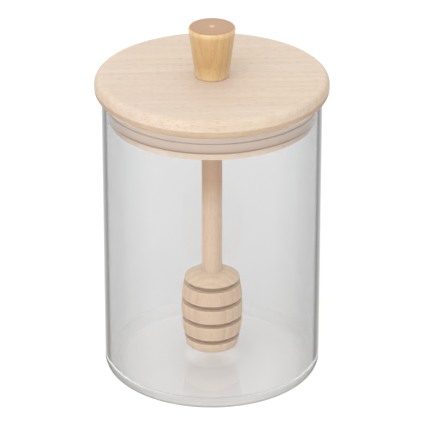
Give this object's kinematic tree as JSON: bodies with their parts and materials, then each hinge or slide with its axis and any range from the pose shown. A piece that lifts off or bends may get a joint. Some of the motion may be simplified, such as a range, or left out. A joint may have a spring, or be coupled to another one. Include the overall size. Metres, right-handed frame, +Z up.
{
  "type": "honey jar with dipper",
  "caption": "Clear cylindrical glass jar with a sealed round wooden lid, a tapered knob and a wooden honey dipper hanging inside.",
  "frame": {"origin": "centre of the jar's flat underside, on the surface it stands on", "axes": "+Z up along the jar's axis towards the knob; X and Y are across the round jar, -Y towards the viewer"},
  "size_m": [0.0904, 0.0904, 0.1438],
  "materials": {
    "glass": "clear, smooth, fire-polished",
    "lid_wood": "finely sanded, matte",
    "silicone": "milky, soft sheen",
    "knob_wood": "turned, thin satin varnish",
    "dipper_wood": "turned and sanded, raw"
  },
  "bodies": {
    "root": {"jar": "glass", "lid": "lid_wood", "seal_ring": "silicone", "knob": "knob_wood", "dipper": "dipper_wood"}
  },
  "joints": []
}
